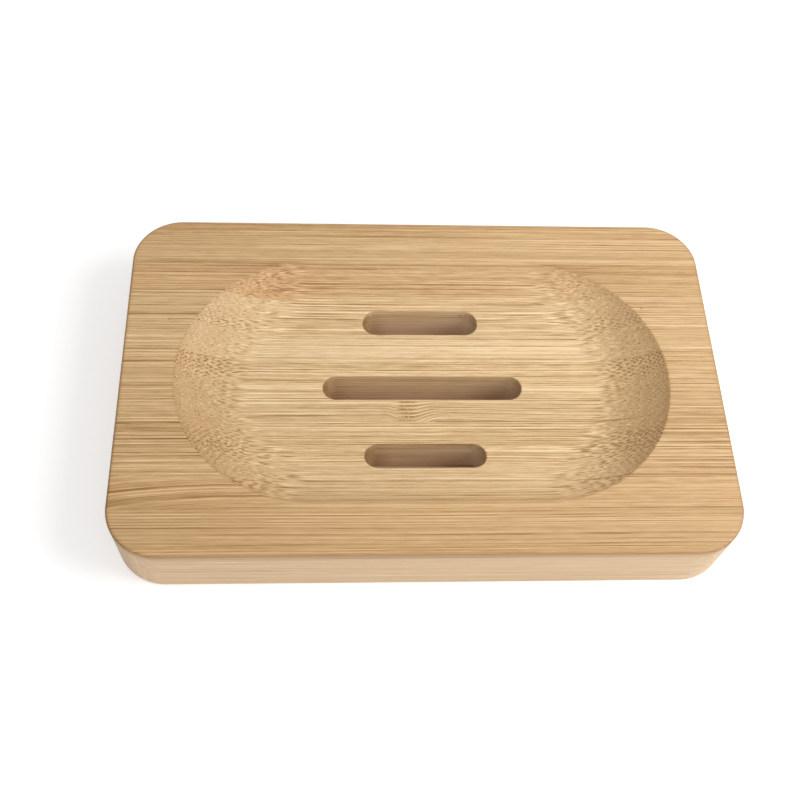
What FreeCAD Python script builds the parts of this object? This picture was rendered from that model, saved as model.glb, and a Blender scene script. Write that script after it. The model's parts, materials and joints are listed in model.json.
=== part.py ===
"""Bamboo soap dish: staves glued side by side into a board, milled to a tray with a hollow and drain slots.

Millimetres. X runs along the staves, Y across them and Z up. The origin is the middle of the underside.
"""
import FreeCAD, Part
import math
import os
import types
import Sketcher

# Driving dimensions: the alias in the sheet, the value in millimetres and what it is
DIMENSIONS = [
    ("board_length", 120, "outside, along the staves"),
    ("board_width", 76, "outside, across the staves"),
    ("board_thickness", 15, "underside to top face"),
    ("corner_radius", 10, "upright corners, seen from above"),
    ("top_round", 0.5, "easing of the outer top edge"),
    ("base_round", 0.5, "easing of the outer bottom edge"),
    ("border", 10.4, "flat rim left around the hollow"),
    ("hollow_depth", 5, "top face to the hollow's flat floor"),
    ("cove_radius", 24, "curve of the hollow's wall, tangent to its floor"),
    ("rim_round", 0.6, "easing of the hollow's rim"),
    ("slot_width", 5.4, "each of the three drain slots"),
    ("long_slot", 40.5, "length of the middle slot"),
    ("short_slot", 24, "length of the front and back slots"),
    ("slot_inset", 12.1, "hollow's rim to the centre line of the front or back slot"),
    ("slot_round", 0.25, "easing of the slots' edges"),
    ("stave_width", 7, "glue joint to glue joint"),
    ("middle_joint", 0.8, "how far in front of the middle the nearest glue joint lies"),
]

# A stave that the outline trims to less than this share of its width is left joined to its neighbour
LEAST_SHARE = 0.25

# Lengths that differ by less than this, in millimetres, and volumes by less than this share, count as equal
TOLERANCE = 1e-4
VOLUME_SHARE = 1e-4

doc = FreeCAD.newDocument("soap_dish")
sheet = doc.addObject("Spreadsheet::Sheet", "Sizes")
for row, (alias, number, meaning) in enumerate(DIMENSIONS, 1):
    sheet.set(f"A{row}", meaning)
    sheet.set(f"B{row}", str(number))
    sheet.setAlias(f"B{row}", alias)
doc.recompute()
size = types.SimpleNamespace(**{alias: float(sheet.get(alias)) for alias, _, _ in DIMENSIONS})

# Sizes that follow from the driving ones, as expressions of the sheet
HOLLOW_HALF_WIDTH = "(Sizes.board_width / 2 - Sizes.border)"
END_CENTRE = "((Sizes.board_length - Sizes.board_width) / 2)"
SLOT_ROW = f"({HOLLOW_HALF_WIDTH} - Sizes.slot_inset)"

# How a sketch counts the points of an edge, and its own axes and origin
START, END, CENTRE = range(1, 4)
ACROSS_AXIS, UP_AXIS = range(-1, -3, -1)
ORIGIN = (ACROSS_AXIS, START)


def worth(expression):
    """The number that an expression of the sheet comes to."""
    return float(sheet.evalExpression(expression))


def origin_plane(body, role):
    """One of the body's own origin planes."""
    return next(plane for plane in body.Origin.OriginFeatures if plane.Role == role)


def new_sketch(body, name, role):
    """An empty sketch on an origin plane of the body."""
    sketch = body.newObject("Sketcher::SketchObject", name)
    sketch.AttachmentSupport = [(origin_plane(body, role), "")]
    sketch.MapMode = "FlatFace"
    return sketch


def line(sketch, start, end, construction=False):
    """A straight edge between two points of the sketch's plane."""
    segment = Part.LineSegment(FreeCAD.Vector(*start, 0), FreeCAD.Vector(*end, 0))
    return sketch.addGeometry(segment, construction)


def arc(sketch, centre, radius, first, last):
    """A round edge from one angle to another, in degrees, anticlockwise."""
    circle = Part.Circle(FreeCAD.Vector(*centre, 0), FreeCAD.Vector(0, 0, 1), radius)
    return sketch.addGeometry(Part.ArcOfCircle(circle, math.radians(first), math.radians(last)))


def constrain(sketch, *constraints):
    """Constraints that hold no size."""
    for constraint in constraints:
        sketch.addConstraint(Sketcher.Constraint(*constraint))


def dimension(sketch, name, expression, kind, *points):
    """A named constraint whose value follows the sheet."""
    index = sketch.addConstraint(Sketcher.Constraint(kind, *points, worth(expression)))
    sketch.renameConstraint(index, name)
    sketch.setExpression(f"Constraints.{name}", expression)


def round_edges(body, name, edges, radius):
    """Round these edges of the body's last feature to a radius of the sheet."""
    shape = body.Tip.Shape
    chosen = [f"Edge{i}" for i, edge in enumerate(shape.Edges, 1) if any(edge.isSame(one) for one in edges)]
    rounding = body.newObject("PartDesign::Fillet", name)
    rounding.Base = (rounding.BaseFeature, chosen)
    rounding.setExpression("Radius", radius)
    doc.recompute()


def mirror(body, name, feature, role):
    """The same feature again on the other side of an origin plane."""
    copy = body.newObject("PartDesign::Mirrored", name)
    copy.Originals = [feature]
    copy.MirrorPlane = (origin_plane(body, role), [""])
    body.Tip = copy
    doc.recompute()


def pad_board(body):
    """The board before milling: a rectangle about the origin, as thick as the board."""
    half_x, half_y = size.board_length / 2, size.board_width / 2
    corners = [(-half_x, -half_y), (half_x, -half_y), (half_x, half_y), (-half_x, half_y)]
    sketch = new_sketch(body, "outline", "XY_Plane")
    sides = [line(sketch, corners[i], corners[(i + 1) % 4]) for i in range(4)]
    front, right, back, left = sides
    for side, following in zip(sides, sides[1:] + sides[:1]):
        constrain(sketch, ("Coincident", side, END, following, START))
    constrain(sketch,
              ("Horizontal", front), ("Vertical", right), ("Horizontal", back), ("Vertical", left),
              ("Symmetric", front, START, back, START, *ORIGIN))
    dimension(sketch, "long_side", "Sizes.board_length", "DistanceX", front, START, front, END)
    dimension(sketch, "short_side", "Sizes.board_width", "DistanceY", right, START, right, END)
    board = body.newObject("PartDesign::Pad", "board")
    board.Profile = sketch
    board.setExpression("Length", "Sizes.board_thickness")
    doc.recompute()


def ease_board(body):
    """Round the board's upright corners, then the edge of its top face and of its underside."""
    upright = [edge for edge in body.Tip.Shape.Edges if edge.BoundBox.ZLength > TOLERANCE]
    round_edges(body, "corners", upright, "Sizes.corner_radius")
    top = [edge for edge in body.Tip.Shape.Edges if edge.BoundBox.ZMin > size.board_thickness - TOLERANCE]
    round_edges(body, "top_edge", top, "Sizes.top_round")
    base = [edge for edge in body.Tip.Shape.Edges if edge.BoundBox.ZMax < TOLERANCE]
    round_edges(body, "bottom_edge", base, "Sizes.base_round")


def cove():
    """Half width of the hollow's flat floor, the floor's height, and the angle of the cove's arc."""
    turn = math.acos(1 - size.hollow_depth / size.cove_radius)
    half_floor = worth(HOLLOW_HALF_WIDTH) - size.cove_radius * math.sin(turn)
    return half_floor, size.board_thickness - size.hollow_depth, math.degrees(turn)


def mill_middle(body):
    """The hollow's straight stretch: a flat floor between two coves, cut along X from end to end centre."""
    half_width, (half_floor, floor, turn) = worth(HOLLOW_HALF_WIDTH), cove()
    middle_height = floor + size.cove_radius
    sketch = new_sketch(body, "hollow_section", "YZ_Plane")
    bottom = line(sketch, (-half_floor, floor), (half_floor, floor))
    back = arc(sketch, (half_floor, middle_height), size.cove_radius, 270, 270 + turn)
    mouth = line(sketch, (half_width, size.board_thickness), (-half_width, size.board_thickness))
    front = arc(sketch, (-half_floor, middle_height), size.cove_radius, 270 - turn, 270)
    constrain(sketch,
              ("Tangent", bottom, END, back, START), ("Coincident", back, END, mouth, START),
              ("Coincident", mouth, END, front, START), ("Tangent", front, END, bottom, START),
              ("Symmetric", mouth, START, mouth, END, UP_AXIS),
              ("Horizontal", bottom), ("Equal", front, back))
    dimension(sketch, "width", f"2 * {HOLLOW_HALF_WIDTH}", "DistanceX", mouth, END, mouth, START)
    dimension(sketch, "cove", "Sizes.cove_radius", "Radius", back)
    dimension(sketch, "depth", "Sizes.hollow_depth", "DistanceY", bottom, END, mouth, START)
    dimension(sketch, "height", "Sizes.board_thickness", "DistanceY", *ORIGIN, mouth, START)
    middle = body.newObject("PartDesign::Pocket", "hollow_middle")
    middle.Profile = sketch
    middle.SideType = "Symmetric"
    middle.setExpression("Length", f"2 * {END_CENTRE}")
    doc.recompute()


def mill_ends(body):
    """The hollow's round ends: the same cove turned half way round an upright axis, and its mirror image."""
    half_width, (half_floor, floor, turn) = worth(HOLLOW_HALF_WIDTH), cove()
    axis_x, top = worth(END_CENTRE), size.board_thickness
    sketch = new_sketch(body, "end_section", "XZ_Plane")
    bottom = line(sketch, (axis_x, floor), (axis_x + half_floor, floor))
    wall = arc(sketch, (axis_x + half_floor, floor + size.cove_radius), size.cove_radius, 270, 270 + turn)
    mouth = line(sketch, (axis_x + half_width, top), (axis_x, top))
    inner = line(sketch, (axis_x, top), (axis_x, floor))
    axis = line(sketch, (axis_x, top), (axis_x, floor), construction=True)
    constrain(sketch,
              ("Tangent", bottom, END, wall, START), ("Coincident", wall, END, mouth, START),
              ("Coincident", mouth, END, inner, START), ("Coincident", inner, END, bottom, START),
              ("Coincident", axis, START, inner, START), ("Coincident", axis, END, inner, END),
              ("Horizontal", bottom), ("Horizontal", mouth), ("Vertical", inner))
    dimension(sketch, "width", HOLLOW_HALF_WIDTH, "DistanceX", mouth, END, mouth, START)
    dimension(sketch, "cove", "Sizes.cove_radius", "Radius", wall)
    dimension(sketch, "depth", "Sizes.hollow_depth", "DistanceY", inner, END, inner, START)
    dimension(sketch, "height", "Sizes.board_thickness", "DistanceY", *ORIGIN, mouth, END)
    dimension(sketch, "centre", END_CENTRE, "DistanceX", *ORIGIN, mouth, END)
    right_end = body.newObject("PartDesign::Groove", "hollow_right")
    right_end.Profile = sketch
    right_end.ReferenceAxis = (sketch, ["Axis0"])
    right_end.Midplane = True
    right_end.Angle = 180
    doc.recompute()
    mirror(body, "hollow_left", right_end, "YZ_Plane")


def cut_slot(body, name, length, row=None):
    """A round-ended slot along X, right through the board; row is its distance behind the middle, if any."""
    radius, centre_y = size.slot_width / 2, worth(row) if row else 0
    reach = worth(length) / 2 - radius
    sketch = new_sketch(body, f"{name}_outline", "XY_Plane")
    near = line(sketch, (-reach, centre_y - radius), (reach, centre_y - radius))
    right = arc(sketch, (reach, centre_y), radius, -90, 90)
    far = line(sketch, (reach, centre_y + radius), (-reach, centre_y + radius))
    left = arc(sketch, (-reach, centre_y), radius, 90, 270)
    constrain(sketch,
              ("Tangent", near, END, right, START), ("Tangent", right, END, far, START),
              ("Tangent", far, END, left, START), ("Tangent", left, END, near, START),
              ("Equal", left, right), ("Symmetric", left, CENTRE, right, CENTRE, UP_AXIS))
    dimension(sketch, "round_end", "Sizes.slot_width / 2", "Radius", right)
    dimension(sketch, "reach", f"{length} - Sizes.slot_width", "DistanceX", left, CENTRE, right, CENTRE)
    if row:
        dimension(sketch, "row", row, "DistanceY", *ORIGIN, right, CENTRE)
    else:
        constrain(sketch, ("PointOnObject", right, CENTRE, ACROSS_AXIS))
    slot = body.newObject("PartDesign::Pocket", name)
    slot.Profile = sketch
    slot.Type = "ThroughAll"
    slot.Reversed = True
    doc.recompute()
    return slot


def reach_of(shape):
    """How far a shape's box reaches from the middle of the dish, along X and along Y."""
    box = shape.BoundBox
    return max(abs(box.XMin), abs(box.XMax)), max(abs(box.YMin), abs(box.YMax))


def is_rim(edge):
    """True for an edge of the hollow in the board's top face."""
    along, across = reach_of(edge)
    half_width = worth(HOLLOW_HALF_WIDTH) + TOLERANCE
    in_top = edge.BoundBox.ZMin > size.board_thickness - TOLERANCE
    return in_top and across < half_width and along < worth(END_CENTRE) + half_width


def is_slot_wall(face):
    """True for an upright face inside the board, which only the slots have."""
    outward = face.normalAt(*face.Surface.parameter(face.CenterOfMass))
    return abs(outward.z) < TOLERANCE and reach_of(face)[1] < worth(HOLLOW_HALF_WIDTH)


def is_level(edge):
    """True for a slot's top and bottom edges, false for the upright seams between its walls."""
    return edge.BoundBox.XLength + edge.BoundBox.YLength > TOLERANCE


def ease_milled_edges(body):
    """Take the sharpness off the hollow's rim, then off both edges of every slot."""
    rim = [edge for edge in body.Tip.Shape.Edges if is_rim(edge)]
    round_edges(body, "hollow_rim", rim, "Sizes.rim_round")
    walls = [face for face in body.Tip.Shape.Faces if is_slot_wall(face)]
    mouths = [edge for wall in walls for edge in wall.Edges if is_level(edge)]
    round_edges(body, "slot_edges", mouths, "Sizes.slot_round")


def glue_joints():
    """Where the glue joints lie across the board, from front to back, as expressions of the sheet."""
    furthest = size.board_width / 2 - LEAST_SHARE * size.stave_width
    first = math.ceil((size.middle_joint - furthest) / size.stave_width)
    last = math.floor((size.middle_joint + furthest) / size.stave_width)
    return [f"({step} * Sizes.stave_width - Sizes.middle_joint)" for step in range(first, last + 1)]


def split_into_staves(body):
    """One stave between each two neighbouring joints: what a plain strip there shares with the board."""
    cuts = ["(-Sizes.board_width / 2)", *glue_joints(), "(Sizes.board_width / 2)"]
    staves = []
    for number, (front, back) in enumerate(zip(cuts, cuts[1:]), 1):
        strip = doc.addObject("Part::Box", f"strip_{number:02d}")
        strip.setExpression("Length", "Sizes.board_length")
        strip.setExpression("Width", f"{back} - {front}")
        strip.setExpression("Height", "Sizes.board_thickness")
        strip.setExpression("Placement.Base.x", "-Sizes.board_length / 2")
        strip.setExpression("Placement.Base.y", front)
        stave = doc.addObject("Part::Common", f"stave_{number:02d}")
        stave.Label = f"stave_{number:02d}"
        stave.Base = body
        stave.Tool = strip
        staves.append(stave)
    doc.recompute()
    return staves


def check(body, staves):
    """Stop unless every feature is sound, each stave is one valid solid and together they are the dish."""
    for item in doc.Objects:
        if {"Invalid", "Error"} & set(item.State):
            raise RuntimeError(f"{item.Label} failed: {item.State}")
    for stave in staves:
        if stave.Shape.isNull() or not stave.Shape.isValid() or len(stave.Shape.Solids) != 1:
            raise RuntimeError(f"{stave.Label} is not one valid solid")
    total = sum(stave.Shape.Volume for stave in staves)
    if abs(total / body.Shape.Volume - 1) > VOLUME_SHARE:
        raise RuntimeError(f"the staves hold {total:.1f} of the dish's {body.Shape.Volume:.1f} mm3")


dish = doc.addObject("PartDesign::Body", "dish")
pad_board(dish)
ease_board(dish)
mill_middle(dish)
mill_ends(dish)
cut_slot(dish, "middle_slot", "Sizes.long_slot")
back_slot = cut_slot(dish, "back_slot", "Sizes.short_slot", SLOT_ROW)
mirror(dish, "front_slot", back_slot, "XZ_Plane")
ease_milled_edges(dish)
staves = split_into_staves(dish)
check(dish, staves)

os.makedirs("parts", exist_ok=True)
for stave in staves:
    stave.Shape.exportStep(f"parts/{stave.Label}.step")
    box = stave.Shape.optimalBoundingBox()
    print(f"{stave.Label}: y {box.YMin:.2f} to {box.YMax:.2f}, {stave.Shape.Volume:.0f} mm3")
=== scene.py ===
# %% [markdown]
# # A bamboo soap dish, stave by stave
# The dish is a board of upright bamboo staves, glued face to face and milled to a shallow tray with three
# drain slots. This lesson rebuilds each stave as a surface with the small unevenness of sanded bamboo, gives
# it a bamboo finish and sets it under soft studio light. The measured frame is loaded first, because every
# piece has to lie exactly where its measured solid lies.

# %% Load the frame
import json
import math
import bmesh
import bpy
import numpy as np
from mathutils import Matrix, Vector


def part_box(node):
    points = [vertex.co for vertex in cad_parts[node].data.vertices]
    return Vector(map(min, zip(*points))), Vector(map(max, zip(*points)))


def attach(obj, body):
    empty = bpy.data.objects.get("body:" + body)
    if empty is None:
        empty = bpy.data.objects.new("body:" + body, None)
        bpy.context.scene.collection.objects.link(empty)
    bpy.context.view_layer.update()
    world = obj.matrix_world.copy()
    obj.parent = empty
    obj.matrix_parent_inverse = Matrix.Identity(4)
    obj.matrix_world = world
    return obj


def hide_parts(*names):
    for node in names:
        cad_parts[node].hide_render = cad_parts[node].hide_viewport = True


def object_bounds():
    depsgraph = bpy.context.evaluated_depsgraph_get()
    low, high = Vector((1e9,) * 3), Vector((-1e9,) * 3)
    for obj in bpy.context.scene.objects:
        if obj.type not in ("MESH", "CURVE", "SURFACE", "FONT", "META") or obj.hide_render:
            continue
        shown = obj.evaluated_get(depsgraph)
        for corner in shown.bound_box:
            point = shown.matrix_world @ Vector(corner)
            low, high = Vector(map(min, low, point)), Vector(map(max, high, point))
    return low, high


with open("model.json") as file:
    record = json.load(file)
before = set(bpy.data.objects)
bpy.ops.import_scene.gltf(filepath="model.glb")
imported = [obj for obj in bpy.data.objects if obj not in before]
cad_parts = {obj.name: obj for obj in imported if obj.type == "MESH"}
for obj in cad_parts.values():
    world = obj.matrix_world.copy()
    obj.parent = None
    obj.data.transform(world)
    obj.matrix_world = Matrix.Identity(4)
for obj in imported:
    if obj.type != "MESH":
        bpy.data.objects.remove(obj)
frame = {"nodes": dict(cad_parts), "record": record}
frame_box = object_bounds()
staves = sorted(frame["nodes"])
print(f"{len(staves)} staves, box {[round(v * 1000, 1) for corner in frame_box for v in corner]} mm")

# %% [markdown]
# ## Sizes
# The outside of the board comes from the frame. The milling (the hollow, its rim and the slots) is repeated
# here in millimetres, because a surface with finer detail than the solid is worked out from it. Millimetres
# are kept all through the shapes and turn to metres only when a mesh is made.

# %% Sizes of the milled board, in millimetres
MM = 0.001
HALF_LENGTH, HALF_WIDTH, THICKNESS = (frame_box[1][axis] / MM for axis in range(3))
# Radii of the corners and edges; then the margin round the hollow, its depth, and the radii of wall and rim
CORNER, TOP_ROUND, BASE_ROUND = 10.0, 0.5, 0.5
BORDER, DEPTH, COVE, RIM_ROUND = 10.4, 5.0, 24.0, 0.6
# The slots: width, both lengths, how far the short ones lie inside the hollow's rim, and their eased edge
SLOT_WIDTH, SHORT_SLOT, LONG_SLOT, SLOT_INSET, SLOT_ROUND = 5.4, 24.0, 40.5, 12.1, 0.25
SLOT_RADIUS = SLOT_WIDTH / 2
HOLLOW = HALF_WIDTH - BORDER
END_CENTRE = HALF_LENGTH - HALF_WIDTH
ROW = HOLLOW - SLOT_INSET
# Each slot: the y of its centre line, and half the length of its straight part
SLOTS = [(row, (length - SLOT_WIDTH) / 2)
         for row, length in ((-ROW, SHORT_SLOT), (0.0, LONG_SLOT), (ROW, SHORT_SLOT))]
JOINTS = [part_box(name)[0][1] / MM for name in staves] + [HALF_WIDTH]
print("hollow", HOLLOW, "mm half wide; glue joints at", np.round(JOINTS[1:-1], 1))

# %% [markdown]
# ## The milled surface as a height
# Seen from above, every point of the dish has one height on top and one underneath, so both faces are
# functions of x and y. Each rounding depends only on how far a point lies from an edge, so the steps are:
# measure a distance in the plan, then turn it into a drop. The alternative, cutting solids and bevelling
# their edges, gives the same form but no control over where the mesh has its points.


# %% Distances in the plan
def inside_outline(x, y):
    """How far a point lies inside the board's outline, a rectangle with round corners."""
    over_x, over_y = np.abs(x) - (HALF_LENGTH - CORNER), np.abs(y) - (HALF_WIDTH - CORNER)
    outside = np.hypot(np.maximum(over_x, 0), np.maximum(over_y, 0))
    return CORNER - outside - np.minimum(np.maximum(over_x, over_y), 0)


def inside_hollow(x, y):
    """How far a point lies inside the hollow's rim, a straight stretch between two half circles."""
    return HOLLOW - np.hypot(np.maximum(np.abs(x) - END_CENTRE, 0), y)


def from_slots(x, y):
    """How far a point lies from the nearest slot, each a straight stretch between two half circles."""
    gaps = [np.hypot(np.maximum(np.abs(x) - half, 0), y - row) - SLOT_RADIUS for row, half in SLOTS]
    return np.min(gaps, axis=0)


print("from the board's middle to its outline:", inside_outline(0.0, 0.0),
      "and to the nearest slot:", from_slots(0.0, 0.0))


# %% Heights that follow from the distances
def round_over(distance, radius):
    """Drop of a quarter round: the whole radius at the edge, nothing a radius away from it."""
    across = radius - np.clip(distance, 0, radius)
    return radius - np.sqrt(radius ** 2 - across ** 2)


COVE_RUN = math.sqrt(COVE ** 2 - (COVE - DEPTH) ** 2)
# The rim is a round that touches the top face outside and the cove inside
LEAN = math.acos((COVE - DEPTH + RIM_ROUND) / (COVE + RIM_ROUND))
RIM_CENTRE = COVE_RUN - (COVE + RIM_ROUND) * math.sin(LEAN)
RIM_INNER = RIM_CENTRE + RIM_ROUND * math.sin(LEAN)


def hollow_drop(distance):
    """Drop of the hollow's wall: the rim's round, then a cove that runs out level on the floor."""
    on_cove = COVE_RUN - np.clip(distance, 0, COVE_RUN)
    wall = DEPTH - COVE + np.sqrt(COVE ** 2 - on_cove ** 2)
    on_rim = np.clip(distance - RIM_CENTRE, 0, RIM_ROUND)
    rim = RIM_ROUND - np.sqrt(RIM_ROUND ** 2 - on_rim ** 2)
    return np.where(distance < RIM_INNER, rim, wall)


def top_height(x, y):
    """Height of the upper face: the board's top less what the edges, the hollow and the slots take off."""
    return (THICKNESS - round_over(inside_outline(x, y), TOP_ROUND) - hollow_drop(inside_hollow(x, y))
            - round_over(from_slots(x, y), SLOT_ROUND))


def base_height(x, y):
    """Height of the underside: level, with its outer edge and the slots' edges eased."""
    return round_over(inside_outline(x, y), BASE_ROUND) + round_over(from_slots(x, y), SLOT_ROUND)


print("heights at the middle of the floor and on the rim:", top_height(30.0, 0.0), top_height(0.0, 33.0))

# %% [markdown]
# ## Unevenness of sanded bamboo
# Bamboo is bundles of hard fibre in softer ground, and sanding takes more of the ground, so a finished face
# is very slightly ribbed along the stave. A bump in the finish could fake that, but the mesh should be right
# by itself, so the ribs are in the shape. Value noise on a lattice gives them: a repeatable number at every
# lattice point, blended smoothly between them. The lattice is stretched far along x, as the fibres are.


# %% Smooth noise that is the same on every run
def s_curve(part):
    """From 0 to 1 with a level start and a level end."""
    part = np.clip(part, 0, 1)
    return part * part * (3 - 2 * part)


def lattice_value(ix, iy, iz, seed):
    """A fixed number from 0 to 1 for each lattice point, by mixing its three indices."""
    mixed = (ix * 73856093) ^ (iy * 19349663) ^ (iz * 83492791) ^ (seed * 2654435761)
    mixed = (mixed ^ (mixed >> 13)) * 1274126177
    return ((mixed ^ (mixed >> 16)) & 0xFFFFFF) / 0xFFFFFF


def smooth_noise(x, y, z, seed):
    """Lattice values blended along x, y and z with an S curve, from -1 to 1."""
    points = np.stack(np.broadcast_arrays(x, y, z))
    corner = np.floor(points).astype(np.int64)
    fx, fy, fz = s_curve(points - corner)
    value = 0
    for dx, dy, dz in np.ndindex(2, 2, 2):
        weight = (fx if dx else 1 - fx) * (fy if dy else 1 - fy) * (fz if dz else 1 - fz)
        value = value + weight * lattice_value(corner[0] + dx, corner[1] + dy, corner[2] + dz, seed)
    return 2 * value - 1


print("noise at three places:", np.round(smooth_noise(np.array([0.2, 3.7, 9.1]), 0.5, 0.5, 1), 3))

# %% What sanding and the cutter took off
# Depth of the ribs, and depth and half width of the crease at a glue joint
RIB_DEPTH, CREASE_DEPTH, CREASE_WIDTH = 0.012, 0.012, 0.16
# Two kinds of rib: share of the depth, length and width
RIBS = [(0.7, 40, 0.9), (0.3, 18, 0.4)]
# Places where the cutter tore the edge of a slot: x, y, half length, half width and depth
CHIPS = [(-8.0, 12.75, 1.2, 0.2, 0.12), (-6.5, 12.8, 0.4, 0.15, 0.12)]


def torn_out(x, y):
    """Depth of the chips: each a short trough that fades out across the fibre."""
    return sum(deep * np.exp(-((x - cx) / long) ** 4 - ((y - cy) / wide) ** 2)
               for cx, cy, long, wide, deep in CHIPS)


def sanded_drop(x, y, z, to_joint):
    """Drop of the sanded face: two kinds of rib added up, a crease at each glue joint, and the chips."""
    ribs = sum(share * smooth_noise(x / long, y / wide, z / wide, seed)
               for seed, (share, long, wide) in enumerate(RIBS, 1))
    crease = np.clip(1 - to_joint / CREASE_WIDTH, 0, 1) ** 2
    return RIB_DEPTH * (0.5 + 0.5 * ribs) + CREASE_DEPTH * crease + torn_out(x, y)


sample = sanded_drop(np.linspace(-50, 50, 500), np.linspace(-30, 30, 500), 15.0, np.ones(500))
print(f"sanding takes {sample.min():.3f} to {sample.max():.3f} mm")

# %% [markdown]
# ## A plan grid for each stave
# A stave's plan is a strip between two glue joints, with half a drain slot cut out of one side of some of
# them. A plain rectangular grid would make steps at the slots and along the round rim, so the grid is bent:
# its lines along x follow the strip, and its lines across bend to follow the slot's end, the hollow's rim and
# the board's corner. The right half is made from blocks, each ruled between two lines, and then mirrored.

# %% Where the grid has its lines
# Furthest apart that lines may lie along a stave and across it
STEP, FINE_STEP = 0.45, 0.22


def spread(stops, step=STEP):
    """Places from the first stop to the last that include every stop and lie at most a step apart."""
    runs = [np.linspace(a, b, 1 + max(1, math.ceil((b - a) / step)))[:-1] for a, b in zip(stops, stops[1:])]
    return np.concatenate([*runs, stops[-1:]])


def eased(radius, turns=6):
    """Distances from an edge that divide a quarter round evenly by angle, edge first."""
    return radius * (1 - np.sin(np.linspace(math.pi / 2, 0, turns + 1)))


def rim_line(y, inset):
    """Where the hollow's rim, moved inwards by an inset, crosses the line at y."""
    return END_CENTRE + np.sqrt(np.maximum((HOLLOW - inset) ** 2 - y ** 2, 0))


def end_line(y, inset=0.0):
    """Where the board's end, moved inwards by an inset, crosses the line at y."""
    over = np.maximum(np.abs(y) - (HALF_WIDTH - CORNER), 0)
    return HALF_LENGTH - CORNER + np.sqrt(np.maximum((CORNER - inset) ** 2 - over ** 2, 0))


print("rim and end at y = 0 and 30:", rim_line(0.0, 0.0), end_line(0.0), round(float(end_line(30.0)), 2))


# %% Shares across a stave
# Extra lines beside a glue joint, their reach and number; and the gap below which two lines count as one
JOINT_REACH, JOINT_LINES, LEAST_GAP = 0.2, 3, 0.002


def notch_of(front, back):
    """The slot that cuts into a strip: its side (0 front, 1 back), its centre line and half length."""
    for row, half in SLOTS:
        for side, joint in enumerate((front, back)):
            if abs(row - joint) < SLOT_RADIUS:
                return side, row, half
    return None


def across(front, back, notch):
    """Shares of the way from the front edge to the back edge at which the grid has its long lines."""
    width = back - front
    marks = [front, back]
    for level in (HOLLOW - RIM_INNER, HOLLOW, HOLLOW - RIM_CENTRE):
        marks += [side * level for side in (-1, 1) if front < side * level < back]
    places = spread(np.sort(marks), FINE_STEP)
    for edge, inwards in ((front, 1), (back, -1)):
        near = [eased(JOINT_REACH, JOINT_LINES)]
        if abs(edge) >= HALF_WIDTH - TOP_ROUND:
            near += [eased(TOP_ROUND), eased(BASE_ROUND)]
        places = np.concatenate([places, edge + inwards * np.concatenate(near)])
    shares = (places - front) / width
    if notch:
        side, row, _ = notch
        deep = row + SLOT_RADIUS if side == 0 else row - SLOT_RADIUS
        near = eased(SLOT_ROUND) / abs((back, front)[side] - deep)
        shares = np.concatenate([shares, near if side == 0 else 1 - near])
    shares = np.sort(shares)
    return shares[np.concatenate([[True], np.diff(shares) > LEAST_GAP / width])]


strip = JOINTS[8:10]
notch = notch_of(*strip)
shares = across(*strip, notch)
print(staves[8], "has", len(shares), "lines across")

# %% The block beside a slot
# Lines round a slot's end
END_LINES = 15


def notch_block(front, back, shares, notch):
    """The block beside a slot: ruled from its edge straight across to the other glue joint."""
    side, row, half = notch
    joint, plain = ((front, back), (back, front))[side]
    towards = 1 if side == 0 else -1
    least = math.asin(towards * (joint - row) / SLOT_RADIUS)
    angle = np.linspace(math.pi / 2, least, END_LINES)
    along = spread([0.0, half])
    edge_x = np.concatenate([along, half + SLOT_RADIUS * np.cos(angle[1:])])
    edge_y = row + towards * SLOT_RADIUS * np.concatenate([np.ones(len(along)), np.sin(angle[1:])])
    # Where the slot's end turns back under itself, the far ends of the rules have to lean out past it
    lean = max(-math.tan(least), 0) * (back - front) + SLOT_RADIUS
    round_end = np.linspace(0, 1, END_LINES)[1:]
    far_x = np.concatenate([along, half + round_end * (edge_x[-1] + lean - half)])
    share = (shares if side == 0 else 1 - shares)[None, :]
    grid_x = edge_x[:, None] * (1 - share) + far_x[:, None] * share
    grid_y = edge_y[:, None] * (1 - share) + plain * share
    return grid_x, grid_y


print("block beside its slot:", notch_block(*strip, shares, notch)[0].shape)

# %% All blocks and their mirror image
# Lines on the floor's first stretch beside a slot, and on the rim's round
NEAR_LINES, RIM_LINES = 14, 4
# Length of that first stretch, and the step on the floor and on the margin
NEAR_REACH, FLOOR_STEP, MARGIN_STEP = 2.0, 0.4, 0.5


def ruled(first, last, parts):
    """A block between two lines across the stave, divided at the given shares."""
    return first[None, :] * (1 - parts[:, None]) + last[None, :] * parts[:, None]


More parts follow.
